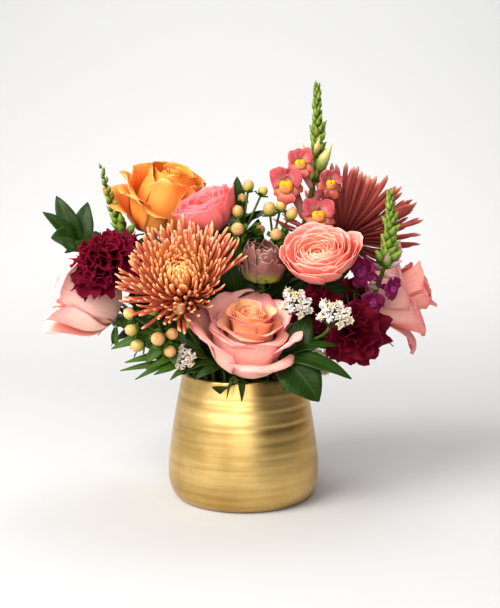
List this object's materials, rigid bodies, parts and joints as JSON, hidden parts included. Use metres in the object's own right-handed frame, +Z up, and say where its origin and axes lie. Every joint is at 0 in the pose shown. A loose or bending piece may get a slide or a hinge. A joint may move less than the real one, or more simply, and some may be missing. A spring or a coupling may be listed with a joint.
{
  "type": "floral table centerpiece",
  "caption": "Brushed gold round pot of water holding a low mixed bouquet of roses, ranunculus, spider chrysanthemums, snapdragons, berries and greenery.",
  "frame": {"origin": "centre of the pot's flat foot, on the surface that it stands on", "axes": "+Z up, -Y towards the front of the arrangement, +X to its right as seen from the front"},
  "size_m": [0.3065, 0.1937, 0.3287],
  "materials": {
    "gold": "satin",
    "water": "gloss",
    "stem": "satin",
    "leaf": "satin",
    "peach": "matte",
    "orange": "matte",
    "coral": "matte",
    "bronze": "matte",
    "rust": "matte",
    "burgundy": "matte",
    "mauve": "matte",
    "snapdragon": "matte",
    "plum": "matte",
    "bud": "satin",
    "berry": "satin",
    "white": "matte"
  },
  "bodies": {
    "root": {"front_rose": "peach", "front_rose_stem": "stem", "left_rose": "peach", "left_rose_stem": "stem", "right_rose": "peach", "right_rose_stem": "stem", "orange_rose": "orange", "orange_rose_stem": "stem", "back_rose": "peach", "back_rose_stem": "stem", "upper_ranunculus": "coral", "upper_ranunculus_stem": "stem", "right_ranunculus": "coral", "right_ranunculus_stem": "stem", "back_ranunculus": "coral", "back_ranunculus_stem": "stem", "mauve_ranunculus_bud": "mauve", "mauve_ranunculus_bud_stem": "stem", "bronze_chrysanthemum": "bronze", "bronze_chrysanthemum_stem": "stem", "rust_chrysanthemum": "rust", "rust_chrysanthemum_stem": "stem", "left_carnation": "burgundy", "left_carnation_stem": "stem", "back_carnation": "burgundy", "back_carnation_stem": "stem", "burgundy_bloom_low": "burgundy", "burgundy_bloom_low_stem": "stem", "burgundy_bloom_inner": "burgundy", "burgundy_bloom_inner_stem": "stem", "burgundy_bloom_back": "burgundy", "burgundy_bloom_back_stem": "stem", "pink_snapdragon": "bud", "pink_snapdragon_flower_1": "snapdragon", "pink_snapdragon_flower_2": "snapdragon", "pink_snapdragon_flower_3": "snapdragon", "pink_snapdragon_flower_4": "snapdragon", "plum_snapdragon": "bud", "plum_snapdragon_flower_1": "plum", "plum_snapdragon_flower_2": "plum", "plum_snapdragon_flower_3": "plum", "left_snapdragon": "bud", "hypericum_centre": "berry", "hypericum_right": "berry", "hypericum_low": "berry", "statice_upper": "white", "statice_right": "white", "statice_low": "white", "statice_left": "white", "statice_back": "white", "left_foliage": "leaf", "right_foliage": "leaf", "inner_foliage": "leaf", "top_foliage": "leaf", "back_left_foliage": "leaf", "back_right_foliage": "leaf", "pot": "gold", "water": "water"}
  },
  "joints": []
}
